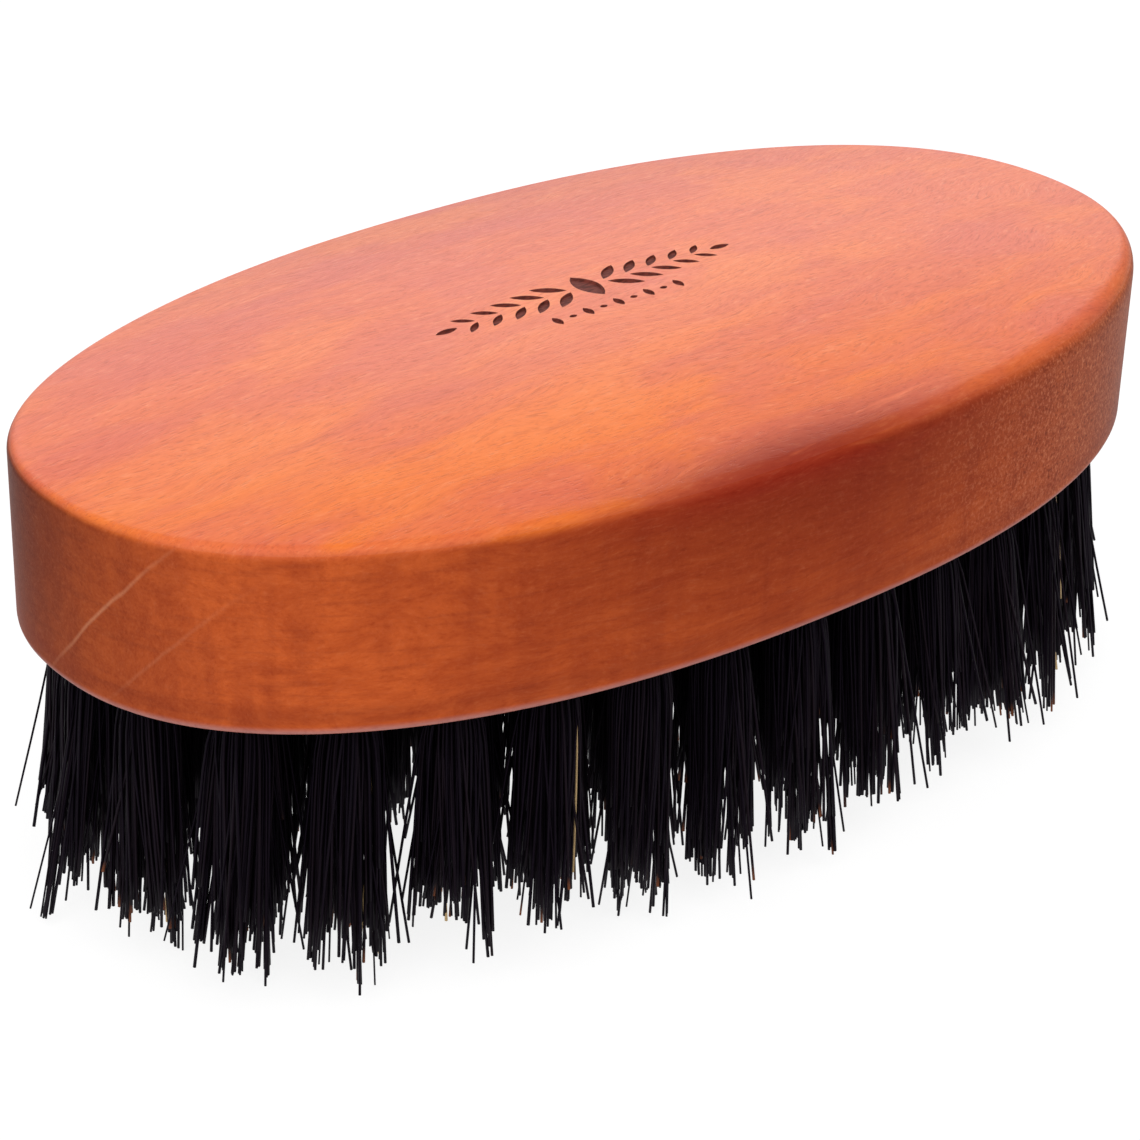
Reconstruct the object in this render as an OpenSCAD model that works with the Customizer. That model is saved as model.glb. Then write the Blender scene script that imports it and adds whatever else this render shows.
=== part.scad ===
// Oval palm brush: a solid wooden block with tufts of bristle set in drilled holes.
// Each tuft is folded in half round a flat wire anchor, whose ends bite into the wood.
// Millimetres. +X runs along the block and +Z points up, out of its crowned back.
// The origin is at the middle of the plane that the bristle tips reach.

/* [Block] */
// Length of the wooden block along X
block_length = 110; // [104:1:130]
// Width of the wooden block along Y
block_width = 58; // [56:1:70]
// Thickness of the wooden block in its middle, crown included
block_height = 18.5; // [16:0.5:22]
// Shape of the oval: 2 is an ellipse, more is squarer
oval_power = 2.25; // [2:0.05:2.5]
// Radius of the upper edge
top_round = 2.2; // [1:0.1:3]
// Radius of the lower edge
bottom_round = 0.8; // [0.3:0.1:1.2]
// Rise of the top from its rim to its middle
crown = 2.7; // [1:0.1:4]

/* [Bristles] */
// Free length of the longest bristles
bristle_length = 25; // [15:1:30]
// Number of tufts in the outermost ring
border_tufts = 30; // [26:4:30]
// Distance from the block's edge to the outermost ring
border_inset = 5; // [4.5:0.5:6]
// Distance between neighbours in a cross row, before it is fitted to the row
row_gap = 12; // [11:0.5:13]
// Diameter of a tuft at its tip
tip_d = 4.4; // [3.6:0.2:4.4]
// Outward lean of the outermost tufts, in degrees
splay = 6; // [2:0.5:8]

/* [Holes and anchors] */
// Diameter of a drilled hole
hole_d = 3; // [2.6:0.1:3.2]
// Depth of a drilled hole
hole_depth = 8; // [6:0.5:9]
// Space round the folded tuft in its hole
hole_play = 0.05; // [0.02:0.01:0.1]
// Length of a wire anchor, which is wider than its hole
anchor_length = 3.7; // [3.4:0.1:4.2]
// Thickness of a wire anchor
anchor_thickness = 0.35; // [0.25:0.05:0.5]
// Height of a wire anchor along its hole
anchor_height = 1.6; // [1.2:0.1:2]
// Height of the fold between the hole's end and the anchor
fold_height = 1.2; // [0.8:0.1:1.6]

/* [Smoothness] */
// Straight pieces in the block's outline
outline_steps = 96; // [48:8:120]
// Steps in the rounded upper edge
round_steps = 6; // [3:1:8]
// Steps in the crown
crown_steps = 7; // [4:1:9]

/* [Hidden] */
half_length = block_length / 2;
half_width = block_width / 2;
border_half_length = half_length - border_inset;
border_half_width = half_width - border_inset;
rim_z = bristle_length + block_height - crown;
// The rounded upper edge turns this far from upright, where the crown carries on from it
edge_turn = 80;
edge_inset = top_round * (1 - cos(edge_turn));
// Size of the small flat left in the middle of the crown, as a share of the top
crown_flat = 0.03;
tuft_d = hole_d - 2 * hole_play;
slab_reach = 2 * block_length;
overrun = 1;

// Height of the anchor's lower face above the block's underside, along its hole
anchor_z = hole_depth - fold_height - anchor_height;

// Columns of tufts on each side of the middle one that end on the outermost ring
side_columns = (border_tufts - 2) / 4;

// Points of a quarter of the outermost ring, from its side to its end, and the distance run to each
quarter_steps = 180;
quarter = [
  for (i = [0:quarter_steps])
    oval_point(border_half_length, border_half_width, 90 * i / quarter_steps)
];
quarter_run = [
  for (
    i = 0, run = 0;
    i <= quarter_steps;
    run = run + norm(quarter[min(i + 1, quarter_steps)] - quarter[i]), i = i + 1
  )
    run
];
ring_step = quarter_run[quarter_steps] / (side_columns + 0.5);

// Narrowest gap that takes a tuft of a half-step row
open_gap = 5.5;

// Cross rows in order along X, each as its distance from the middle in steps of the outermost ring.
// A whole step ends on that ring, and a half step lies between two such rows.
row_places = [
  for (half_step = [-2 * side_columns:2 * side_columns])
    if (half_step % 2 == 0 || abs(half_step) < 2 * side_columns - 1)
      half_step / 2
];
row_count = len(row_places);

function row_name(kind, i) = str(kind, i < 10 ? "_0" : "_", i);

// Point of an oval with half-axes a and b; angle 0 is at its +Y side and 90 at its +X end
function oval_point(a, b, angle) = [
  a * sign(sin(angle)) * pow(abs(sin(angle)), 2 / oval_power),
  b * sign(cos(angle)) * pow(abs(cos(angle)), 2 / oval_power)
];

function ring_x(run) =
  lookup(run, [for (i = [0:quarter_steps]) [quarter_run[i], quarter[i].x]]);

function ring_y(run) =
  lookup(run, [for (i = [0:quarter_steps]) [quarter_run[i], quarter[i].y]]);

// Places across the block of the tufts in a cross row that ends on the outermost ring
function ring_row(place) =
  let (
    reach = ring_y(abs(place) * ring_step),
    gaps = max(1, round(2 * reach / row_gap))
  )
  [for (j = [0:gaps]) reach * (2 * j / gaps - 1)];

function sorted(values) =
  len(values) < 2 ? values : let (
    pivot = values[0],
    others = [for (k = [1:len(values) - 1]) values[k]]
  )
  concat(
    sorted([for (v = others) if (v < pivot) v]),
    [pivot],
    sorted([for (v = others) if (v >= pivot) v])
  );

// Places across the block of the tufts in a half-step row: midway in each gap that the
// cross rows on both sides of it leave open
function half_step_row(place) =
  let (taken = sorted(concat(ring_row(place - 0.5), ring_row(place + 0.5))))
  [
    for (j = [1:len(taken) - 1])
      if (taken[j] - taken[j - 1] > open_gap)
        (taken[j] + taken[j - 1]) / 2
  ];

// Root points of the tufts in cross row i
function row_roots(i) =
  let (
    place = row_places[i - 1],
    x = sign(place) * ring_x(abs(place) * ring_step)
  )
  [for (y = place == round(place) ? ring_row(place) : half_step_row(place)) [x, y]];

// Levels of the block from its underside to the middle of its top, as [inset, size, z].
// Each is the oval inset by a distance and then shrunk to a share of its size.
block_levels = concat(
  [for (a = [0:30:90])
    [bottom_round * (1 - sin(a)), 1, bristle_length + bottom_round * (1 - cos(a))]],
  [for (i = [0:round_steps])
    let (a = edge_turn * i / round_steps)
    [top_round * (1 - cos(a)), 1, rim_z - top_round * (sin(edge_turn) - sin(a))]],
  [for (i = [1:crown_steps])
    let (share = i / crown_steps)
    [edge_inset, 1 - (1 - crown_flat) * share, rim_z + crown * (1 - pow(1 - share, 2))]]
);

// Closed solid whose level rings follow the oval
module lofted_oval(levels) {
  rings = len(levels);
  n = outline_steps;
  points = [
    for (level = levels, i = [0:n - 1])
      let (p = oval_point(half_length - level[0], half_width - level[0], -360 * i / n))
      [level[1] * p.x, level[1] * p.y, level[2]]
  ];
  walls = [
    for (r = [0:rings - 2], i = [0:n - 1])
      let (
        a = r * n + i,
        b = r * n + (i + 1) % n
      )
      each [[a, a + n, b + n], [a, b + n, b]]
  ];
  underside = [for (i = [0:n - 1]) i];
  top = [for (i = [n - 1:-1:0]) (rings - 1) * n + i];
  polyhedron(points = points, faces = concat([underside, top], walls));
}

// Puts its children at a root point, with -Z along the leaning tuft
module at_root(root) {
  lean = [root.y / border_half_width, -root.x / border_half_length];
  translate([root.x, root.y, bristle_length])
    rotate([splay * lean.x, splay * lean.y, 0])
      children();
}

module anchor_blank() {
  translate([-anchor_length / 2, -anchor_thickness / 2, anchor_z])
    cube([anchor_length, anchor_thickness, anchor_height]);
}

module hole() {
  translate([0, 0, -overrun])
    cylinder(d = hole_d, h = hole_depth + overrun, $fn = 48);
}

// One folded tuft: straight in its hole, and spreading below the block down to the tip plane
module tuft(root) {
  reach = bristle_length / cos(splay) + tip_d;
  spread = (tip_d - tuft_d) / 2 * reach / bristle_length;
  intersection() {
    at_root(root)
      difference() {
        rotate_extrude($fn = 48)
          polygon([
            [0, hole_depth - hole_play],
            [tuft_d / 2, hole_depth - hole_play],
            [tuft_d / 2, 0],
            [tuft_d / 2 + spread, -reach],
            [0, -reach]
          ]);
        anchor_blank();
      }
    translate([-slab_reach / 2, -slab_reach / 2, 0])
      cube([slab_reach, slab_reach, bristle_length + block_height]);
  }
}

// The solid wooden block, drilled from below, with the pockets that the anchors' ends bite out
module handle_block() {
  color("#c8633a")
    difference() {
      lofted_oval(block_levels);
      for (i = [1:row_count], root = row_roots(i))
        at_root(root) {
          hole();
          anchor_blank();
        }
    }
}

module tuft_row(i) {
  color("#1c1719")
    for (root = row_roots(i))
      tuft(root);
}

module anchor_row(i) {
  color("#b9b4a8")
    for (root = row_roots(i))
      at_root(root)
        anchor_blank();
}

handle_block();
for (i = [1:row_count]) {
  tuft_row(i);
  anchor_row(i);
}
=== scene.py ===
"""Looks of the oval beard brush: the stained block, its bristles, the anchors and a plain pale studio."""

import math

import bpy
import numpy as np
from mathutils import Matrix, Vector


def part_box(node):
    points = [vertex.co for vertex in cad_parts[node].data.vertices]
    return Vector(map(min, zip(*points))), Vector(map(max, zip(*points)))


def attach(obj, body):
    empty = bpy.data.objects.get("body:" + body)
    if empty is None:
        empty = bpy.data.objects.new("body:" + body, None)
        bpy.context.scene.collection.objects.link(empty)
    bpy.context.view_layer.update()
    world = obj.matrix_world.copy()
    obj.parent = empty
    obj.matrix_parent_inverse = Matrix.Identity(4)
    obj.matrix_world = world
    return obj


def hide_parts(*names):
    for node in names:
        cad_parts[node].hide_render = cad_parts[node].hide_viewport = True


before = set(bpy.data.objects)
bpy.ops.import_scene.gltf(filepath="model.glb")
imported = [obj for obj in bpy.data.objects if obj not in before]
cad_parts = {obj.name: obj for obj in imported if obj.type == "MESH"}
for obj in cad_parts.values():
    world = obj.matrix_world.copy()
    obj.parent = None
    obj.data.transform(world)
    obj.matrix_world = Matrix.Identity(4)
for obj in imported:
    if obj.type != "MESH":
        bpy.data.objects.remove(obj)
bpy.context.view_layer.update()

MM = 0.001
SEED = 430
rng = np.random.default_rng(SEED)

# ---------------------------------------------------------------- the brush's sizes, as the CAD has them
block_low, block_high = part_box("handle_block")
HALF_LENGTH = block_high.x
HALF_WIDTH = block_high.y
UNDERSIDE = block_low.z
TOP = block_high.z
OVAL_POWER = 2.25
CROWN = 2.7 * MM
RIM = TOP - CROWN
TOP_ROUND = 2.2 * MM
BOTTOM_ROUND = 0.8 * MM
HOLE_RADIUS = 1.5 * MM
HOLE_DEPTH = 8 * MM
TUFT_RADIUS = 1.42 * MM
ANCHOR_TOP = 6.8 * MM

# ---------------------------------------------------------------- camera
CAMERA_AZIMUTH = -40.72
CAMERA_ELEVATION = 28.17
CAMERA_ROLL = 1.63
CAMERA_DISTANCE = 5.13 * HALF_LENGTH
CAMERA_LENS = 103.1
CAMERA_TARGET = Vector((-0.081 * HALF_LENGTH, -0.015 * HALF_LENGTH, UNDERSIDE - 0.117 * HALF_LENGTH))


def make_camera():
    azimuth, elevation = math.radians(CAMERA_AZIMUTH), math.radians(CAMERA_ELEVATION)
    back = Vector((
        math.sin(azimuth) * math.cos(elevation),
        -math.cos(azimuth) * math.cos(elevation),
        math.sin(elevation),
    ))
    data = bpy.data.cameras.new("camera")
    data.lens = CAMERA_LENS
    data.sensor_width = 36
    data.clip_start = 0.01
    camera = linked_object("camera", data)
    turn = (-back).to_track_quat("-Z", "Y").to_matrix().to_4x4()
    roll = Matrix.Rotation(math.radians(CAMERA_ROLL), 4, "Z")
    camera.matrix_world = Matrix.Translation(CAMERA_TARGET + back * CAMERA_DISTANCE) @ turn @ roll
    bpy.context.scene.camera = camera


# ---------------------------------------------------------------- node helpers
class Graph:
    """A material's nodes. add() makes a node, sets its properties and links or sets its inputs."""

    def __init__(self, name):
        self.material = bpy.data.materials.new(name)
        self.material.use_nodes = True
        self.tree = self.material.node_tree
        self.shader = next(n for n in self.tree.nodes if n.type == "BSDF_PRINCIPLED")

    def add(self, kind, inputs=None, **properties):
        node = self.tree.nodes.new("ShaderNode" + kind)
        for name, value in properties.items():
            setattr(node, name, value)
        for name, value in (inputs or {}).items():
            self.put(node.inputs[name], value)
        return node

    def put(self, socket, value):
        if isinstance(value, bpy.types.NodeSocket):
            self.tree.links.new(value, socket)
        else:
            socket.default_value = value

    def set(self, **values):
        for name, value in values.items():
            self.put(self.shader.inputs[name.replace("_", " ")], value)

    def math(self, operation, a, b=0.0, c=0.0):
        return self.add("Math", {0: a, 1: b, 2: c}, operation=operation).outputs[0]

    def scaled(self, vector, scale):
        """The object's coordinates in millimetres, times a factor along each axis."""
        factors = tuple(1000 * s for s in scale)
        return self.add("VectorMath", {0: vector, 1: factors}, operation="MULTIPLY").outputs[0]

    def noise(self, vector, detail=2.0, roughness=0.5):
        inputs = {"Vector": vector, "Scale": 1.0, "Detail": detail, "Roughness": roughness}
        return self.add("TexNoise", inputs).outputs["Fac"]

    def ramp(self, value, low, high):
        """0 at low, rising smoothly to 1 at high, and level beyond them. low may be the larger one."""
        inputs = {"Value": value, "From Min": low, "From Max": high, "To Min": 0.0, "To Max": 1.0}
        return self.add("MapRange", inputs, interpolation_type="SMOOTHSTEP", clamp=True).outputs[0]

    def mix(self, factor, a, b, blend="MIX"):
        """Mixes two colours, each a socket or three linear values."""
        node = self.add("Mix", data_type="RGBA", blend_type=blend)
        self.put(node.inputs[0], factor)
        self.put(node.inputs[6], a if isinstance(a, bpy.types.NodeSocket) else (*a, 1))
        self.put(node.inputs[7], b if isinstance(b, bpy.types.NodeSocket) else (*b, 1))
        return node.outputs[2]

    def stained(self, colour, mask, strength, display, blend="MIX"):
        """The colour, shifted towards a display colour by the mask times the strength."""
        return self.mix(self.math("MULTIPLY", mask, strength), colour, linear(*display), blend)

    def bump(self, height, distance, strength):
        return self.add("Bump", {"Height": height, "Distance": distance, "Strength": strength}).outputs[0]


def linear(red, green, blue):
    """A colour given in display values from 0 to 255, as the shader wants it."""
    def one(v):
        v /= 255
        return v / 12.92 if v <= 0.04045 else ((v + 0.055) / 1.055) ** 2.4
    return one(red), one(green), one(blue)


# ---------------------------------------------------------------- the block's materials
# How fast the grain bends, as metres sideways for each square metre forward
GRAIN_BEND = 2.8


def grain_space(g, place):
    """Coordinates that follow the grain: along X, bending towards +Y on the +X half, with a slow sway."""
    at = g.add("SeparateXYZ", {0: place})
    forward = g.math("MAXIMUM", at.outputs[0], 0.0)
    bend = g.math("MULTIPLY", g.math("MULTIPLY", forward, forward), GRAIN_BEND)
    # the crown counts as flat, or its level lines would show in the grain
    height = g.math("MINIMUM", at.outputs[2], RIM)
    bent = g.add("CombineXYZ", {
        0: at.outputs[0], 1: g.math("SUBTRACT", at.outputs[1], bend), 2: height,
    }).outputs[0]
    sway = g.add("TexNoise", {"Vector": g.scaled(place, (0.012, 0.03, 0.03)), "Detail": 1.0})
    return g.add("VectorMath", {
        0: sway.outputs["Color"], 1: (0.0, 0.005, 0.004), 2: bent,
    }, operation="MULTIPLY_ADD").outputs[0]


def soft_spot(g, at, centre, reach):
    """1 at a place on the block, falling softly to 0 round it. Lengths along X, Y and Z."""
    total = None
    for axis in range(3):
        off = g.math("DIVIDE", g.math("SUBTRACT", at.outputs[axis], centre[axis]), reach[axis])
        square = g.math("MULTIPLY", off, off)
        total = square if total is None else g.math("ADD", total, square)
    return g.math("EXPONENT", g.math("MULTIPLY", total, -1.0))


# The scratches run square to this direction of Y and Z. Each has its offset along it, the
# place where it is clearest, and its strength.
SCRATCH_Y, SCRATCH_Z = 0.757, 0.655
SCRATCH_HALF_WIDTH = 0.24 * MM
SCRATCH_WOBBLE = 0.6 * MM
SCRATCH_REACH = (0.005, 0.008, 0.009)
SCRATCHES = (
    (0.01767, (-0.0545, -0.005, UNDERSIDE + 0.008), 0.36),
    (0.01250, (-0.0524, -0.0105, UNDERSIDE + 0.006), 0.11),
)


def slanting_scratch(g, at, wobble, offset, centre):
    """1 along a fine scratch that slants down the side wall, falling to 0 beside it and at its ends."""
    level = g.math("MULTIPLY_ADD", at.outputs[1], SCRATCH_Y, g.math("MULTIPLY", at.outputs[2], SCRATCH_Z))
    level = g.math("MULTIPLY_ADD", g.math("SUBTRACT", wobble, 0.5), SCRATCH_WOBBLE, level)
    off = g.math("ABSOLUTE", g.math("SUBTRACT", level, offset))
    line = g.ramp(off, SCRATCH_HALF_WIDTH, 0.0)
    return g.math("MULTIPLY", line, soft_spot(g, at, centre, SCRATCH_REACH))


def wood_top_colour(g, at, figure, blotch, streak):
    """The stained top: orange at its front, pinker towards its back partly as painted sheen, with faint
    figure along the grain, and a cooler painted sheen on its far side.
    """
    # partly stain, partly painted sheen: the top turns pinker towards its back, where a pale reflection
    # lies
    back = g.math("MULTIPLY_ADD", at.outputs[0], 0.15, at.outputs[1])
    colour = g.mix(g.ramp(back, -0.026, 0.008), linear(242, 122, 46), linear(230, 112, 68))
    colour = g.stained(colour, g.ramp(figure, 0.40, 0.62), 0.52, (218, 98, 72))
    colour = g.stained(colour, g.ramp(blotch, 0.50, 0.62), 0.36, (218, 102, 84))
    colour = g.stained(colour, g.ramp(blotch, 0.47, 0.36), 0.32, (246, 132, 56))
    colour = g.stained(colour, g.ramp(streak, 0.50, 0.74), 0.30, (204, 88, 60))
    colour = g.stained(colour, g.ramp(streak, 0.44, 0.26), 0.20, (250, 146, 92))
    # paler in a broad area on the top, left of its middle and a little towards its front
    paler_patch = soft_spot(g, at, (-0.010, -0.004, TOP), (0.030, 0.012, 0.010))
    colour = g.mix(g.math("MULTIPLY", paler_patch, 0.7), colour, (0.04, 0.06, 0.05), "ADD")
    # painted sheen: a cooler tint along the far side of the top, standing in for the pale reflection there
    far_side_sheen = soft_spot(g, at, (0.004, HALF_WIDTH, RIM), (0.050, 0.012, 0.010))
    return g.mix(far_side_sheen, colour, (0.88, 0.92, 1.15), "MULTIPLY")


def wall_patches(g, at, normal, colour, speckle):
    """Broad areas of the wall: end grain at both ends, two darker or duller areas near the +X end, an area
    on the front of deeper stain and painted shade, and a -X end of deeper stain and a painted dark
    reflection.
    """
    # deeper stain and painted shade: a broad dark area on the front wall, just below its top edge
    stain_and_shade_patch = soft_spot(g, at, (-0.002, -HALF_WIDTH, RIM), (0.034, 0.014, 0.017))
    colour = g.stained(colour, stain_and_shade_patch, 0.9, (118, 34, 16))

    # both ends show end grain, the -X end less of it
    facing = g.math("MAXIMUM", normal.outputs[0], g.math("MULTIPLY", normal.outputs[0], -0.6))
    end_tone = g.mix(g.ramp(speckle, 0.32, 0.7), linear(176, 88, 52), linear(132, 58, 36))
    colour = g.mix(g.math("MULTIPLY", g.ramp(facing, 0.3, 0.9), 0.5), colour, end_tone)
    dull = soft_spot(g, at, (0.042, -0.020, RIM), (0.022, 0.014, 0.030))
    colour = g.stained(colour, dull, 0.8, (146, 76, 50))
    low_end = soft_spot(g, at, (0.050, -0.012, UNDERSIDE + 0.001), (0.014, 0.014, 0.008))
    colour = g.stained(colour, low_end, 0.65, (100, 44, 32))
    # deeper stain and a painted dark reflection: the -X end of the wall turns dark brown
    dark_end_stain_and_reflection = soft_spot(g, at, (-HALF_LENGTH, 0.010, RIM), (0.006, 0.016, 0.03))
    return g.stained(colour, dark_end_stain_and_reflection, 0.92, (74, 28, 17))


def wall_grit(g, place, at, colour):
    """Pale and dark grit, stronger towards the +X end."""
    grit = g.noise(g.scaled(place, (3.2, 3.2, 2.8)), detail=3, roughness=0.75)
    gritty = g.ramp(at.outputs[0], 0.004, 0.030)
    pale_strength = g.math("MULTIPLY_ADD", gritty, 0.50, 0.04)
    colour = g.stained(colour, g.ramp(grit, 0.50, 0.66), pale_strength, (206, 128, 92))
    dark_strength = g.math("MULTIPLY_ADD", gritty, 0.62, 0.04)
    return g.stained(colour, g.ramp(grit, 0.48, 0.33), dark_strength, (96, 38, 26))


def wall_lower_edge(g, at, normal, colour):
    """A painted highlight: a pale band along the lower rounded edge, under a faint darker line."""
    above = g.math("ABSOLUTE", g.math("SUBTRACT", at.outputs[2], UNDERSIDE + 0.0019))
    colour = g.stained(colour, g.ramp(above, 0.0014, 0.0), 0.3, (120, 44, 26))
    # painted highlight along the lower rounded edge, as from light coming from below
    rim_highlight = g.ramp(at.outputs[2], UNDERSIDE + 0.0010, UNDERSIDE + 0.0003)
    rim_highlight = g.math("MULTIPLY", rim_highlight, g.ramp(normal.outputs[2], -0.97, -0.7))
    return g.stained(colour, rim_highlight, 0.65, (174, 132, 130))


def wood_side_colour(g, place, at, normal, streak, speckle):
    """The side wall, darker than the top partly from more stain and partly as painted shade, most of all in
    a broad area on its front.
    """
    rays = g.noise(g.scaled(place, (0.32, 0.32, 0.05)), detail=2, roughness=0.5)
    hatch = g.noise(g.scaled(place, (0.16, 0.16, 1.6)), detail=2, roughness=0.6)
    colour = g.mix(g.ramp(streak, 0.3, 0.72), linear(198, 92, 42), linear(176, 76, 34))
    colour = g.stained(colour, g.ramp(rays, 0.4, 0.7), 0.4, (144, 56, 30))
    colour = g.stained(colour, g.ramp(hatch, 0.5, 0.72), 0.28, (136, 56, 32))
    colour = wall_patches(g, at, normal, colour, speckle)
    colour = wall_grit(g, place, at, colour)
    for offset, centre, strength in SCRATCHES:
        colour = g.stained(colour, slanting_scratch(g, at, rays, offset, centre), strength, (210, 148, 112))
    return wall_lower_edge(g, at, normal, colour)


def wood_material(name, specular):
    """Stained pear wood: fine pores along the length, soft figure, mottled ends, satin varnish."""
    g = Graph(name)
    coords = g.add("TexCoord")
    place = coords.outputs["Object"]
    at = g.add("SeparateXYZ", {0: place})
    normal = g.add("SeparateXYZ", {0: coords.outputs["Normal"]})
    grain = grain_space(g, place)
    figure = g.noise(g.scaled(grain, (0.022, 0.16, 0.16)), detail=3, roughness=0.55)
    streak = g.noise(g.scaled(grain, (0.06, 0.75, 0.75)), detail=3, roughness=0.65)
    dash = g.noise(g.scaled(grain, (0.55, 2.6, 2.6)), detail=3, roughness=0.65)
    fibre = g.noise(g.scaled(grain, (0.9, 5.0, 5.0)), detail=2, roughness=0.6)
    pores = g.noise(g.scaled(grain, (0.8, 8.0, 8.0)), detail=1, roughness=0.5)
    blotch = g.noise(g.scaled(place, (0.06, 0.10, 0.10)), detail=3, roughness=0.55)
    speckle = g.noise(g.scaled(place, (4.5, 4.5, 3.5)), detail=2, roughness=0.6)
    up = g.ramp(normal.outputs[2], 0.25, 0.95)

    side = wood_side_colour(g, place, at, normal, streak, speckle)
    # the walls take the darker side colour: partly deeper stain, partly painted shade for the dimmer light
    # on the walls
    colour = g.mix(up, side, wood_top_colour(g, at, figure, blotch, streak))

    # red streaks gather along the rounded front edge, which has no pale flecks
    front = soft_spot(g, at, (-0.005, -HALF_WIDTH + 0.0010, RIM - 0.0004), (0.018, 0.0032, 0.0022))
    bare = g.math("MULTIPLY", up, g.math("SUBTRACT", 1.0, front))
    edge = g.math("MULTIPLY", front, g.ramp(streak, 0.15, 0.46))
    colour = g.stained(colour, edge, 0.85, (136, 34, 20))

    # fine detail along the grain: dark and pale dashes, dark and pale fibres, then pores
    colour = g.stained(colour, g.ramp(dash, 0.5, 0.75), 0.20, (186, 110, 96), "MULTIPLY")
    dash_strength = g.math("MULTIPLY_ADD", bare, 0.14, 0.03)
    colour = g.stained(colour, g.ramp(dash, 0.46, 0.25), dash_strength, (255, 176, 128))
    colour = g.stained(colour, g.ramp(fibre, 0.5, 0.8), 0.2, (168, 72, 44), "MULTIPLY")
    fibre_strength = g.math("MULTIPLY_ADD", bare, 0.14, 0.05)
    colour = g.stained(colour, g.ramp(fibre, 0.42, 0.2), fibre_strength, (255, 170, 110))
    pore_mask = g.math("MULTIPLY", g.ramp(pores, 0.58, 0.7), g.math("MULTIPLY_ADD", up, 0.5, 0.5))
    colour = g.stained(colour, pore_mask, 0.22, (160, 58, 34))

    relief = g.math("ADD", g.math("MULTIPLY", fibre, 0.6), g.math("MULTIPLY", pore_mask, -0.9))
    relief = g.math("MULTIPLY_ADD", speckle, 0.25, relief)
    g.set(
        Base_Color=colour,
        Roughness=g.math("MULTIPLY_ADD", fibre, 0.16, 0.36),
        Specular_IOR_Level=specular,
        Normal=g.bump(relief, 0.02 * MM, 0.5),
    )
    return g.material


def bare_wood_material(name, pale, dark, roughness):
    """Wood with no varnish, in two tones: charred where it is engraved, and raw in the drilled holes."""
    g = Graph(name)
    place = g.add("TexCoord").outputs["Object"]
    grain = g.noise(g.scaled(place, (1.2, 4.0, 4.0)), detail=3)
    g.set(
        Base_Color=g.mix(g.ramp(grain, 0.3, 0.75), pale, dark),
        Roughness=g.math("MULTIPLY_ADD", grain, 0.2, roughness),
        Specular_IOR_Level=0.1,
        Normal=g.bump(grain, 0.03 * MM, 0.5),
    )
    return g.material


# ---------------------------------------------------------------- the other materials
# Tones from 0 to 1 are dark hairs, and this one is a pale hair
PALE_TONE = 2.0


def bristle_material():
    """Near-black boar bristle with a soft sheen; a strand's tone is stored on its points."""
    g = Graph("bristle")
    tone = g.add("Attribute", attribute_name="strand_tone").outputs["Fac"]
    along = g.add("Attribute", attribute_name="strand_run").outputs["Fac"]
    place = g.add("TexCoord").outputs["Object"]
    mottling = g.noise(g.scaled(place, (2.0, 2.0, 0.35)), detail=2)
    colour = g.mix(g.ramp(tone, 0.4, 1.0), linear(7, 4, 8), linear(18, 12, 15))
    colour = g.stained(colour, g.ramp(mottling, 0.4, 0.7), 0.3, (14, 10, 18))
    # painted shade: darker near the wood, where the hairs shade each other; and brown at the tips of a few
    # hairs
    colour = g.stained(colour, g.ramp(along, 0.5, 0.1), 0.5, (3, 2, 4))
    tip = g.math("MULTIPLY", g.ramp(along, 0.93, 1.0), g.ramp(tone, 0.93, 0.98))
    colour = g.stained(colour, tip, 0.8, (128, 72, 40))
    colour = g.mix(g.ramp(tone, 1.5, PALE_TONE), colour, linear(196, 166, 120))
    g.set(
        Base_Color=colour,
        Roughness=g.math("MULTIPLY_ADD", mottling, 0.2, 0.38),
        Specular_IOR_Level=0.09,
        Specular_Tint=(0.85, 0.62, 1.0, 1),
        Normal=g.bump(g.noise(g.scaled(place, (6.0, 6.0, 1.5))), 0.01 * MM, 0.4),
    )
    return g.material


def wire_material():
    """Flat drawn steel wire, with fine lines along it."""
    g = Graph("anchor_wire")
    place = g.add("TexCoord").outputs["Object"]
    lines = g.noise(g.scaled(place, (0.6, 14.0, 14.0)), detail=3)
    stain = g.noise(g.scaled(place, (0.9, 0.9, 0.9)), detail=2)
    g.set(
        Base_Color=g.mix(g.ramp(stain, 0.4, 0.75), linear(188, 184, 176), linear(140, 128, 112)),
        Metallic=1.0,
        Roughness=g.math("MULTIPLY_ADD", lines, 0.3, 0.22),
        Normal=g.bump(lines, 0.01 * MM, 0.4),
    )
    return g.material


def studio_material(name, tone, glow):
    """A matt light table or backdrop: its tone is a grey from 0 to 255, and its glow comes from behind."""
    g = Graph(name)
    grain = g.noise(g.scaled(g.add("TexCoord").outputs["Object"], (0.05, 0.05, 0.05)), detail=2)
    g.set(
        Base_Color=g.mix(grain, linear(tone, tone, tone), linear(tone + 6, tone + 6, tone + 6)),
        Roughness=0.9,
        Specular_IOR_Level=0.0,
        Emission_Color=(1, 1, 1, 1),
        Emission_Strength=glow,
    )
    return g.material


# ---------------------------------------------------------------- mesh helpers
def linked_object(name, data):
    made = bpy.data.objects.new(name, data)
    bpy.context.scene.collection.objects.link(made)
    return made


def new_object(name, vertices, faces, materials):
    mesh = bpy.data.meshes.new(name)
    mesh.from_pydata([tuple(v) for v in vertices], [], faces)
    mesh.validate()
    for material in materials:
        mesh.materials.append(material)
    return linked_object(name, mesh)


def apply_modifiers(piece):
    """Leaves the piece with the mesh that its modifiers make."""
    graph = bpy.context.evaluated_depsgraph_get()
    made = bpy.data.meshes.new_from_object(piece.evaluated_get(graph))
    old = piece.data
    piece.modifiers.clear()
    piece.data = made
    bpy.data.meshes.remove(old)


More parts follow.
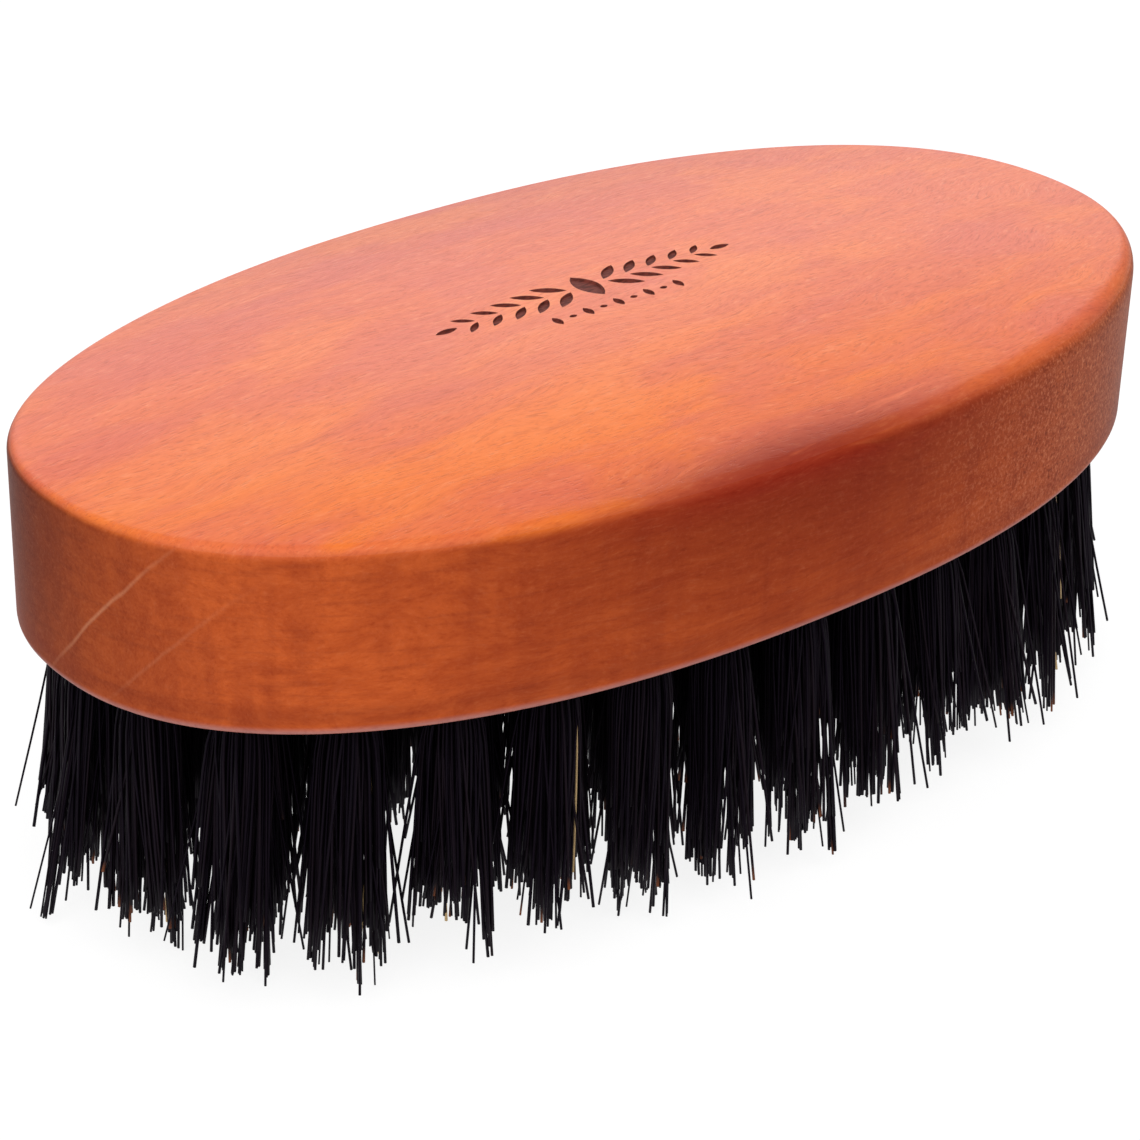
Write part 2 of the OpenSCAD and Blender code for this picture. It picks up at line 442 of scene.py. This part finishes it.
def cut(piece, cutter):
    """Takes the cutter out of the piece and removes it. The cut faces get the cutter's material."""
    change = piece.modifiers.new("cut", "BOOLEAN")
    change.operation = "DIFFERENCE"
    change.solver = "EXACT"
    change.material_mode = "TRANSFER"
    change.object = cutter
    apply_modifiers(piece)
    bpy.data.objects.remove(cutter)


def joined_prisms(name, prisms, material):
    """One mesh of closed prisms, each given as its lower and its upper ring of points."""
    vertices, faces = [], []
    for lower, upper in prisms:
        n, first = len(lower), len(vertices)
        vertices += [*lower, *upper]
        faces.append([first + i for i in reversed(range(n))])
        faces.append([first + n + i for i in range(n)])
        for i in range(n):
            j = (i + 1) % n
            faces.append([first + i, first + j, first + n + j, first + n + i])
    return new_object(name, vertices, faces, [material])


# ---------------------------------------------------------------- tufts, read from the CAD
# Tufts of a row are further apart than this, at their feet and at their heads
TUFT_GAP = 2 * MM
# How far the points of a foot may lie above the tip plane, and those of a head below its top
FOOT_BAND = 0.05 * MM
HEAD_BAND = 0.5 * MM


def group_middles(points):
    """The middle of each group of points that lies apart from the others along Y, in order."""
    points = points[np.argsort(points[:, 1])]
    breaks = np.nonzero(np.diff(points[:, 1]) > TUFT_GAP)[0] + 1
    return [(group.min(0) + group.max(0)) / 2 for group in np.split(points, breaks)]


def tufts_of(node):
    """Each tuft of a CAD row as (root on the underside, unit vector up its hole)."""
    points = np.array([v.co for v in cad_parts[node].data.vertices], float)
    height = points[:, 2]
    feet = group_middles(points[height < FOOT_BAND])
    heads = group_middles(points[height > height.max() - HEAD_BAND])
    tufts = []
    for foot, head in zip(feet, heads, strict=True):
        up = (head - foot) / np.linalg.norm(head - foot)
        root = foot + up * (UNDERSIDE - foot[2]) / up[2]
        tufts.append((root, up))
    return tufts


# ---------------------------------------------------------------- the block
OUTLINE_STEPS = 256
WALL_STEPS = 8
BOTTOM_STEPS = 6
TOP_STEPS = 12
CROWN_STEPS = 34
HOLE_SIDES = 36
# Radius of the upper edge in millimetres: at its crispest, what the front adds, and what two corners
# add. The corners lie at an angle from the block's ends, and reach some way round it, in radians.
EDGE_RADIUS = 0.9
FRONT_SOFTER = 0.8
CORNER_SOFTER = 0.9
CORNER_ANGLE = math.radians(52)
CORNER_REACH = 0.5
# Faces whose normal points up more than this have the top's gloss
TOP_FACING = 0.6
# Edges sharper than this stay crisp
SHARP_ANGLE = math.radians(32)


def oval(half_x, half_y, angle):
    """Point of the block's oval; angle 0 is at its +X end."""
    c, s = math.cos(angle), math.sin(angle)
    return (
        half_x * math.copysign(abs(c) ** (2 / OVAL_POWER), c),
        half_y * math.copysign(abs(s) ** (2 / OVAL_POWER), s),
    )


def edge_round(angle):
    """Radius of the hand-sanded upper edge: crispest at the back, softest towards two opposite corners."""
    off = math.remainder(angle + CORNER_ANGLE, math.pi)
    front = max(0.0, -math.sin(angle))
    corner = math.exp(-(off / CORNER_REACH) ** 2)
    return (EDGE_RADIUS + FRONT_SOFTER * front + CORNER_SOFTER * corner) * MM


def crown_height(x, y):
    """Level of the crowned top above a point."""
    a, b = HALF_LENGTH - TOP_ROUND, HALF_WIDTH - TOP_ROUND
    size = (abs(x / a) ** OVAL_POWER + abs(y / b) ** OVAL_POWER) ** (1 / OVAL_POWER)
    return TOP - CROWN * size * size


def centre_distance(angle):
    """Distance from the block's axis to the line that touches its oval at one angle."""
    x, y = oval(HALF_LENGTH, HALF_WIDTH, angle)
    near = oval(HALF_LENGTH, HALF_WIDTH, angle + 1e-4)
    along = Vector((near[0] - x, near[1] - y)).normalized()
    return abs(x * along.y - y * along.x)


def block_column(angle):
    """Points up the block's surface at one angle, from the underside to the middle of the top."""
    def at(inset, z, size=1.0):
        x, y = oval(HALF_LENGTH - inset, HALF_WIDTH - inset, angle)
        return x * size, y * size, z

    points = []
    for i in range(BOTTOM_STEPS + 1):
        a = math.pi / 2 * i / BOTTOM_STEPS
        points.append(at(BOTTOM_ROUND * (1 - math.sin(a)), UNDERSIDE + BOTTOM_ROUND * (1 - math.cos(a))))

    # the rounded edge turns until it meets the slope of the crown
    radius = edge_round(angle)
    turn = math.pi / 2 - math.atan(2 * CROWN / centre_distance(angle))
    wall_low = UNDERSIDE + BOTTOM_ROUND
    wall_high = RIM - radius * math.sin(turn)
    for i in range(1, WALL_STEPS):
        points.append(at(0, wall_low + (wall_high - wall_low) * i / WALL_STEPS))
    for i in range(TOP_STEPS + 1):
        a = turn * i / TOP_STEPS
        points.append(at(radius * (1 - math.cos(a)), wall_high + radius * math.sin(a)))
    inset = radius * (1 - math.cos(turn))
    for i in range(1, CROWN_STEPS):
        size = 1 - i / CROWN_STEPS
        points.append(at(inset, TOP - CROWN * size * size, size))
    return points


def block_mesh(materials):
    columns = [block_column(2 * math.pi * i / OUTLINE_STEPS) for i in range(OUTLINE_STEPS)]
    levels = len(columns[0])
    vertices = [point for column in columns for point in column] + [(0, 0, TOP)]
    apex = len(vertices) - 1
    faces = [[i * levels for i in reversed(range(OUTLINE_STEPS))]]
    for i in range(OUTLINE_STEPS):
        here, there = i * levels, (i + 1) % OUTLINE_STEPS * levels
        for k in range(levels - 1):
            faces.append([here + k, there + k, there + k + 1, here + k + 1])
        faces.append([here + levels - 1, there + levels - 1, apex])
    return new_object("brush_handle_block", vertices, faces, materials)


def hole_prisms(tufts):
    """The drilled holes as cylinders along the tufts, each starting a little below the block."""
    turns = [2 * math.pi * i / HOLE_SIDES for i in range(HOLE_SIDES)]
    prisms = []
    for root, up in tufts:
        side = np.cross(up, (0, 1, 0))
        side /= np.linalg.norm(side)
        other = np.cross(up, side)
        ring = [HOLE_RADIUS * (math.cos(turn) * side + math.sin(turn) * other) for turn in turns]
        prisms.append(([root + r - up * MM for r in ring], [root + r + up * HOLE_DEPTH for r in ring]))
    return prisms


# The ornament's middle, from the block's, and the row of lozenges, from the ornament's middle
ORNAMENT_X = -1.2 * MM
ORNAMENT_Y = 1.8 * MM
LOZENGES_Y = -4.1 * MM
LOZENGE_PITCH = 1.65 * MM
# Places of the pairs of leaves on each side in millimetres, their tilt, how much each pair is
# smaller than the one before, and how full a leaf is (less is fuller)
LEAF_PAIRS = 5
LEAF_START = 3.3
LEAF_PITCH = 2.35
LEAF_TILT = math.radians(38)
LEAF_SHRINK = 0.09
LEAF_FULLNESS = 0.8
# The cutter is this deep, sticks out this far, and narrows from its top to its floor
ENGRAVING_DEPTH = 0.2 * MM
ENGRAVING_LIFT = 0.6 * MM
CUTTER_FLOOR = 0.82
CUTTER_TOP = 1.35


def leaf_outline(centre, length, width, turn, steps=10):
    """A pointed leaf whose axis lies at an angle."""
    points = []
    for sign in (1, -1):
        for i in range(steps):
            t = i / steps
            x = length * (t - 0.5) * sign
            y = -sign * width / 2 * math.sin(math.pi * t) ** LEAF_FULLNESS
            points.append((
                centre[0] + x * math.cos(turn) - y * math.sin(turn),
                centre[1] + x * math.sin(turn) + y * math.cos(turn),
            ))
    return points


def leaf_branch(side):
    """Outlines of the leaf pairs on one side of the ornament, and of the single leaf at its end."""
    shapes = []
    for i in range(LEAF_PAIRS):
        size = 1 - LEAF_SHRINK * i
        x = side * (LEAF_START + LEAF_PITCH * i) * MM
        for lift in (1, -1):
            centre = (x, lift * 1.25 * size * MM)
            shapes.append(leaf_outline(centre, 3.2 * size * MM, 1.0 * size * MM, side * lift * LEAF_TILT))
    shapes.append(leaf_outline((side * 15.0 * MM, 0), 2.2 * MM, 0.8 * MM, 0))
    return shapes


def lozenge_row():
    """Outlines of a row of upright lozenges with small lying ones between them."""
    shapes = []
    for i in range(-4, 5):
        centre = (i * LOZENGE_PITCH, LOZENGES_Y)
        if i % 2 == 0:
            shapes.append(leaf_outline(centre, 1.5 * MM, 0.8 * MM, math.pi / 2, steps=5))
        else:
            shapes.append(leaf_outline(centre, 0.8 * MM, 0.5 * MM, 0, steps=5))
    return shapes


def ornament():
    """Outlines of a plain leaf ornament with a row of lozenges below it."""
    heart = leaf_outline((0, 0), 4.6 * MM, 2.2 * MM, math.pi / 2, steps=8)
    shapes = [heart, *leaf_branch(1), *leaf_branch(-1), *lozenge_row()]
    return [[(x + ORNAMENT_X, y + ORNAMENT_Y) for x, y in shape] for shape in shapes]


def engraving_prisms():
    """Cutters for the ornament, which have its true size where they meet the crowned top."""
    share = ENGRAVING_DEPTH / (ENGRAVING_DEPTH + ENGRAVING_LIFT)
    at_surface = CUTTER_FLOOR + (CUTTER_TOP - CUTTER_FLOOR) * share
    prisms = []
    for outline in ornament():
        cx = sum(x for x, y in outline) / len(outline)
        cy = sum(y for x, y in outline) / len(outline)
        level = crown_height(cx, cy)
        lower, upper = (
            [(cx + size / at_surface * (x - cx), cy + size / at_surface * (y - cy), z) for x, y in outline]
            for size, z in ((CUTTER_FLOOR, level - ENGRAVING_DEPTH), (CUTTER_TOP, level + ENGRAVING_LIFT))
        )
        prisms.append((lower, upper))
    return prisms


def make_block(tufts):
    block = block_mesh([wood_material("stained_wood_side", 0.02), wood_material("stained_wood_top", 0.15)])
    for face in block.data.polygons:
        face.use_smooth = True
        face.material_index = int(face.normal.z > TOP_FACING)
    raw = bare_wood_material("raw_wood", linear(206, 150, 108), linear(170, 112, 74), 0.7)
    burnt = bare_wood_material("burnt_wood", linear(122, 58, 48), linear(78, 36, 30), 0.6)
    cut(block, joined_prisms("holes", hole_prisms(tufts), raw))
    cut(block, joined_prisms("engraving", engraving_prisms(), burnt))
    block.data.set_sharp_from_angle(angle=SHARP_ANGLE)
    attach(block, "root")
    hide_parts("handle_block")


# ---------------------------------------------------------------- the bristles
HAIRS = 72
SIDES = 5
CLUMPS = 13
FREE_LENGTH = UNDERSIDE
# Hairs reach at most to this far above the tip plane
TIP_PLAY = 0.3 * MM
# Shares of the tuft's radius that the legs and the middles of the clumps fill, and how much
# the evenly spread places are shaken
LEG_FILL = 0.9
CLUMP_FILL = 0.85
DISC_SHAKE = 0.05
# A tuft widens by this share of its size: quickly at its hole's mouth, and slowly down to its tip
MOUTH_SPREAD = 1.0
SLOW_SPREAD = 0.3
TIP_SPREAD = 1 + MOUTH_SPREAD + SLOW_SPREAD
FLARE = 18.0
# How strongly hairs are drawn to the middle of their clump, and how the pull and the leans grow
CLUMP_PULL = 0.7
PULL_CURVE = 1.3
LEAN_CURVE = 1.15
WAVES = 1.5
# The outermost tufts lean outwards by this many degrees
SPLAY = 6
# Shares of hairs that lean away from their tuft, are cut short, stand out, and are pale
STRAY_SHARE = 0.26
SHORT_SHARE = 0.3
PROUD_SHARE = 0.06
PALE_SHARE = 0.0022
# Lengths in millimetres: how far tufts end above the tip plane, how uneven their clumps and hairs
# are, and how much short hairs are shorter and proud ones longer than their clump
TUFT_CUT = (2.6, 5.6)
CLUMP_UNEVEN = 1.6
HAIR_UNEVEN = 0.6
SHORT_BY = (1.0, 7.0)
PROUD_BY = (0.4, 2.4)
# Sideways shifts at the tips in millimetres: of a tuft, a clump, a stray hair and another hair,
# and how far strays are blown outwards and hairs wave. A hair's own shift is cut off at a limit.
TUFT_LEAN = 0.5
CLUMP_LEAN = 0.75
STRAY_LEAN = 1.9
HAIR_LEAN = 0.28
LEAN_LIMIT = 1.4
BLOWN_OUT = 0.4
WAVE = 0.06
# Radius of a hair at its root end in millimetres, and of its other end as a share of that
ROOT_RADIUS = (0.11, 0.145)
TIP_SHARE = (0.65, 0.9)
# Places down a free leg, as shares of its length, and turns round the anchor's top in the fold
LEG_STATIONS = np.array([1.0, 0.86, 0.70, 0.53, 0.36, 0.20, 0.10, 0.04])
FOLD_ANGLES = np.radians([0, 45, 90, 135, 180])
# Each leg stays this far from the anchor's middle, and is held at these heights in the hole
ANCHOR_PLAY = 0.3 * MM
HELD_HEIGHTS = (0.6 * MM, ANCHOR_TOP - 0.4 * MM)
FOLD_RISE = 0.12 * MM
FOLD_ROUND = 0.4125


def disc(n):
    """n points spread evenly over the unit disc, a little shaken."""
    k = np.arange(n) + 0.5
    radius = np.sqrt(k / n)
    angle = k * math.pi * (3 - math.sqrt(5))
    points = np.stack([radius * np.cos(angle), radius * np.sin(angle)], 1)
    return points + rng.normal(0, DISC_SHAKE, points.shape)


def leg_starts():
    """Places in the hole of the hairs' legs, on one side of the anchor and on the other, in pairs."""
    legs = disc(2 * HAIRS) * TUFT_RADIUS * LEG_FILL
    legs = legs[np.argsort(legs[:, 1])]
    near, far = legs[:HAIRS].copy(), legs[HAIRS:].copy()
    near[:, 1] = np.minimum(near[:, 1], -ANCHOR_PLAY)
    far[:, 1] = np.maximum(far[:, 1], ANCHOR_PLAY)
    return near[np.argsort(near[:, 0])], far[np.argsort(far[:, 0])]


def leg_shape(start, length, clump, lean, wave):
    """Sideways places down each free leg: (legs, stations, 2), from its start in the hole."""
    run = LEG_STATIONS[None, :, None] * (length / FREE_LENGTH)[:, None, None]
    spread = start[:, None, :] * (1 + MOUTH_SPREAD * (1 - np.exp(-FLARE * run)) + SLOW_SPREAD * run)
    pull = (clump[:, None, :] * TIP_SPREAD - spread) * CLUMP_PULL * run ** PULL_CURVE
    bend = lean[:, None, :] * run ** LEAN_CURVE
    sway = wave[:, None, :] * np.sin(math.pi * run * WAVES)
    return spread + pull + bend + sway


def hair_lengths(clump_ends):
    """Free lengths: most near the end of their clump, some cut short, a few that stand out."""
    n = len(clump_ends)
    length = clump_ends - np.abs(rng.normal(0, HAIR_UNEVEN, n)) * MM
    short = rng.random(n) < SHORT_SHARE
    length = np.where(short, clump_ends - rng.uniform(*SHORT_BY, n) * MM, length)
    proud = rng.random(n) < PROUD_SHARE
    return np.where(proud, clump_ends + rng.uniform(*PROUD_BY, n) * MM, length)


def hair_leans(shared, outward):
    """Sideways shifts of the tips: those shared with the clump, the hair's own, and strays blown out."""
    stray = rng.random(HAIRS) < STRAY_SHARE
    own = np.clip(rng.normal(0, 1, (HAIRS, 2)), -LEAN_LIMIT, LEAN_LIMIT)
    own = own * np.where(stray, STRAY_LEAN, HAIR_LEAN)[:, None] * MM
    blown_out = (stray * rng.uniform(0, BLOWN_OUT, HAIRS) * MM)[:, None] * outward
    return own + (shared + blown_out)


def free_legs(starts, outward):
    """For each side of the anchor: sideways places down the free legs, and heights from the underside."""
    centres = disc(CLUMPS) * TUFT_RADIUS * CLUMP_FILL
    tuft_end = FREE_LENGTH - rng.uniform(*TUFT_CUT) * MM
    clump_ends = tuft_end + rng.normal(0, CLUMP_UNEVEN, CLUMPS) * MM
    clump_leans = rng.normal(0, CLUMP_LEAN, (CLUMPS, 2)) * MM
    tuft_lean = rng.normal(0, TUFT_LEAN, 2) * MM
    legs = []
    for start in starts:
        nearest = np.argmin(((start[:, None] - centres[None]) ** 2).sum(2), 1)
        length = np.minimum(hair_lengths(clump_ends[nearest]), FREE_LENGTH - TIP_PLAY)
        lean = hair_leans(tuft_lean + clump_leans[nearest], outward)
        wave = rng.normal(0, WAVE, (HAIRS, 2)) * MM
        sides = leg_shape(start, length, centres[nearest], lean, wave)
        legs.append((sides, -LEG_STATIONS[None, :] * length[:, None]))
    return legs


def strand_radii(points):
    """Radii along each hair, which is thick at its root end and thinner at the other."""
    thick = rng.uniform(*ROOT_RADIUS, HAIRS) * MM
    thin = thick * rng.uniform(*TIP_SHARE, HAIRS)
    swap = rng.random(HAIRS) < 0.5
    first, last = np.where(swap, thin, thick), np.where(swap, thick, thin)
    share = np.linspace(0, 1, points)[None]
    return first[:, None] * (1 - share) + last[:, None] * share


def strand_tones():
    """A tone for each hair: dark, but for a few pale ones."""
    tone = rng.random(HAIRS)
    return np.where(rng.random(HAIRS) < PALE_SHARE, PALE_TONE, tone)


def tuft_paths(root, up):
    """One tuft's folded hairs: centre lines (hairs, points, 3), radii, run down the free legs, tones."""
    across = np.array((1.0, 0.0, 0.0)) - up * up[0]
    across /= np.linalg.norm(across)
    over = np.cross(up, across)

    def place(side, height):
        return root + side[..., :1] * across + side[..., 1:] * over + height[..., None] * up

    near, far = leg_starts()
    outward = -np.array(up[:2]) / math.sin(math.radians(SPLAY))
    free_near, free_far = (place(sides, heights) for sides, heights in free_legs((near, far), outward))
    held = np.broadcast_to(HELD_HEIGHTS, (HAIRS, 2))
    held_near, held_far = (place(side[:, None], held) for side in (near, far))

    # each hair goes over the anchor, from its leg on one side to its leg on the other
    half = (far - near) / 2
    rise = FOLD_RISE + FOLD_ROUND * np.abs(half[:, 1])
    fold_sides = ((near + far) / 2)[:, None] - half[:, None] * np.cos(FOLD_ANGLES)[:, None]
    fold = place(fold_sides, ANCHOR_TOP + rise[:, None] * np.sin(FOLD_ANGLES))

    path = np.concatenate([free_near, held_near, fold, held_far[:, ::-1], free_far[:, ::-1]], 1)
    points = path.shape[1]
    radii = strand_radii(points)
    inside = np.zeros(points - 2 * len(LEG_STATIONS))
    run = np.concatenate([LEG_STATIONS, inside, LEG_STATIONS[::-1]])
    return path, radii, np.broadcast_to(run, radii.shape), strand_tones()


def swept(path, radii):
    """Vertices of tubes round centre lines: (hairs, points, sides, 3)."""
    ahead = np.gradient(path, axis=1)
    ahead /= np.linalg.norm(ahead, axis=2, keepdims=True)
    span = path[:, -1] - path[:, 0]
    top = path[:, path.shape[1] // 2] - path[:, 0]
    flat = np.cross(span, top)
    flat /= np.linalg.norm(flat, axis=1, keepdims=True)
    second = np.cross(ahead, flat[:, None])
    second /= np.linalg.norm(second, axis=2, keepdims=True)
    first = np.cross(second, ahead)
    turn = np.arange(SIDES) * 2 * math.pi / SIDES
    ring = np.cos(turn)[:, None] * first[:, :, None] + np.sin(turn)[:, None] * second[:, :, None]
    return path[:, :, None] + ring * radii[:, :, None, None]


def tube_faces(hairs, points):
    """Quads of each tube and its two cut-off ends, as vertex numbers."""
    k = np.arange(SIDES)
    ring = np.arange(points - 1)[:, None] * SIDES
    a, b = ring + k, ring + (k + 1) % SIDES
    quads = np.stack([a, b, b + SIDES, a + SIDES], -1).reshape(-1, 4)
    start = np.arange(hairs)[:, None] * points * SIDES
    lower = k[::-1] + start
    upper = k + (points - 1) * SIDES + start
    return (quads + start[..., None]).reshape(-1, 4), np.concatenate([lower, upper])


def tubes_mesh(name, vertices, quads, ends, point_values):
    """A mesh of smooth quads and flat ends, with a named value on each of its points."""
    mesh = bpy.data.meshes.new(name)
    mesh.vertices.add(vertices.size // 3)
    mesh.vertices.foreach_set("co", vertices.reshape(-1).astype(np.float32))
    corners = np.concatenate([quads.reshape(-1), ends.reshape(-1)])
    sizes = np.concatenate([np.full(len(quads), 4), np.full(len(ends), SIDES)])
    starts = np.concatenate([[0], np.cumsum(sizes)[:-1]])
    mesh.loops.add(len(corners))
    mesh.loops.foreach_set("vertex_index", corners.astype(np.int32))
    mesh.polygons.add(len(sizes))
    mesh.polygons.foreach_set("loop_start", starts.astype(np.int32))
    mesh.polygons.foreach_set("use_smooth", np.arange(len(sizes)) < len(quads))
    for value_name, values in point_values.items():
        layer = mesh.attributes.new(value_name, "FLOAT", "POINT")
        layer.data.foreach_set("value", values.astype(np.float32))
    mesh.update(calc_edges=True)
    mesh.validate()
    return mesh


def make_tuft_row(number, material):
    node = f"tuft_row_{number:02d}"
    made = [tuft_paths(root, up) for root, up in tufts_of(node)]
    path, radii, run, tone = (np.concatenate(parts) for parts in zip(*made, strict=True))
    hairs, points = radii.shape
    quads, ends = tube_faces(hairs, points)
    mesh = tubes_mesh(f"bristles_row_{number:02d}", swept(path, radii), quads, ends, {
        "strand_tone": np.repeat(tone, points * SIDES),
        "strand_run": np.repeat(run.reshape(-1), SIDES),
    })
    mesh.materials.append(material)
    piece = linked_object(mesh.name, mesh)
    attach(piece, "root")
    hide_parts(node)


# ---------------------------------------------------------------- studio
# The floor lies just under the tips, so that no face of the brush lies in its plane
FLOOR_REACH = 60.0
FLOOR_DROP = 0.1 * MM
WALL_REACH = 4.0
WALL_LOW, WALL_HIGH = -0.1, 2.0
SKY_STRENGTH = 0.3
LIGHT_AIM = Vector((0, 0, 0.03))


def square(reach, z):
    return [(-reach, -reach, z), (reach, -reach, z), (reach, reach, z), (-reach, reach, z)]


def make_floor():
    material = studio_material("floor", 120, 0.86)
    floor = new_object("floor", square(FLOOR_REACH, 0), [[0, 1, 2, 3]], [material])
    floor.location.z = -FLOOR_DROP


def make_backdrop():
    """Walls that keep the horizon out of low views. They throw no light and no shadow."""
    corners = square(WALL_REACH, WALL_LOW) + square(WALL_REACH, WALL_HIGH)
    faces = [[i, (i + 1) % 4, (i + 1) % 4 + 4, i + 4] for i in range(4)]
    backdrop = new_object("backdrop", corners, faces, [studio_material("backdrop", 0, 0.92)])
    for ray in ("diffuse", "glossy", "transmission", "volume_scatter", "shadow"):
        setattr(backdrop, "visible_" + ray, False)


def area_light(name, place, size, power):
    """A soft white light that shines on the brush."""
    data = bpy.data.lights.new(name, "AREA")
    data.shape = "RECTANGLE"
    data.size, data.size_y = size
    data.energy = power
    lamp = linked_object(name, data)
    lamp.location = place
    lamp.rotation_euler = (LIGHT_AIM - Vector(place)).to_track_quat("-Z", "Y").to_euler()


def make_lights():
    world = bpy.data.worlds.new("studio")
    world.use_nodes = True
    sky = world.node_tree.nodes["Background"]
    sky.inputs["Color"].default_value = (1, 1, 1, 1)
    sky.inputs["Strength"].default_value = SKY_STRENGTH
    bpy.context.scene.world = world
    area_light("overhead_softbox", (-0.22, -0.38, 0.80), (1.1, 0.9), 6.4)
    area_light("back_softbox", (0.55, 0.80, 0.42), (1.3, 0.45), 6.5)
    area_light("left_softbox", (-0.75, -0.35, 0.45), (0.5, 0.5), 1.6)
    bpy.context.scene.view_settings.view_transform = "Standard"


def finish_anchors():
    """The anchors keep their CAD shape and get the wire's material."""
    wire = wire_material()
    for node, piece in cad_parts.items():
        if node.startswith("anchor_row"):
            piece.data.materials.clear()
            piece.data.materials.append(wire)


make_camera()
make_floor()
make_backdrop()
make_lights()
tuft_nodes = sorted(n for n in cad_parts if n.startswith("tuft_row"))
make_block([tuft for node in tuft_nodes for tuft in tufts_of(node)])
bristle = bristle_material()
for number in range(1, len(tuft_nodes) + 1):
    make_tuft_row(number, bristle)
finish_anchors()
